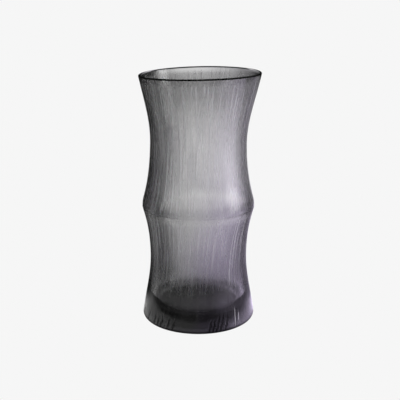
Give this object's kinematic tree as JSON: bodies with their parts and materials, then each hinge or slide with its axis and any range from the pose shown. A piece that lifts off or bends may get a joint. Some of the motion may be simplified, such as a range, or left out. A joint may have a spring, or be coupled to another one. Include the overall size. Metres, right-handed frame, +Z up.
{
  "type": "glass vase",
  "caption": "Tall free-standing flower vase of smoked glass, flared at rim and foot, waisted above and below a raised bamboo-like node, on a thick solid base.",
  "frame": {"origin": "centre of the standing face, on the surface that the vase rests on", "axes": "+Z up along the vase's axis; the vase is round, so +X and +Y are any two level directions"},
  "size_m": [0.1434, 0.1434, 0.3],
  "materials": {
    "cut_glass": "smoke-grey glass, satin outside with fine vertical wheel cuts, smooth inside",
    "polished_glass": "smoke-grey glass, fire-polished and clear, nearly black where it is thick"
  },
  "bodies": {
    "root": {"base": "polished_glass", "lower_wall": "cut_glass", "node_ring": "cut_glass", "upper_wall": "cut_glass", "lip": "polished_glass"}
  },
  "joints": []
}
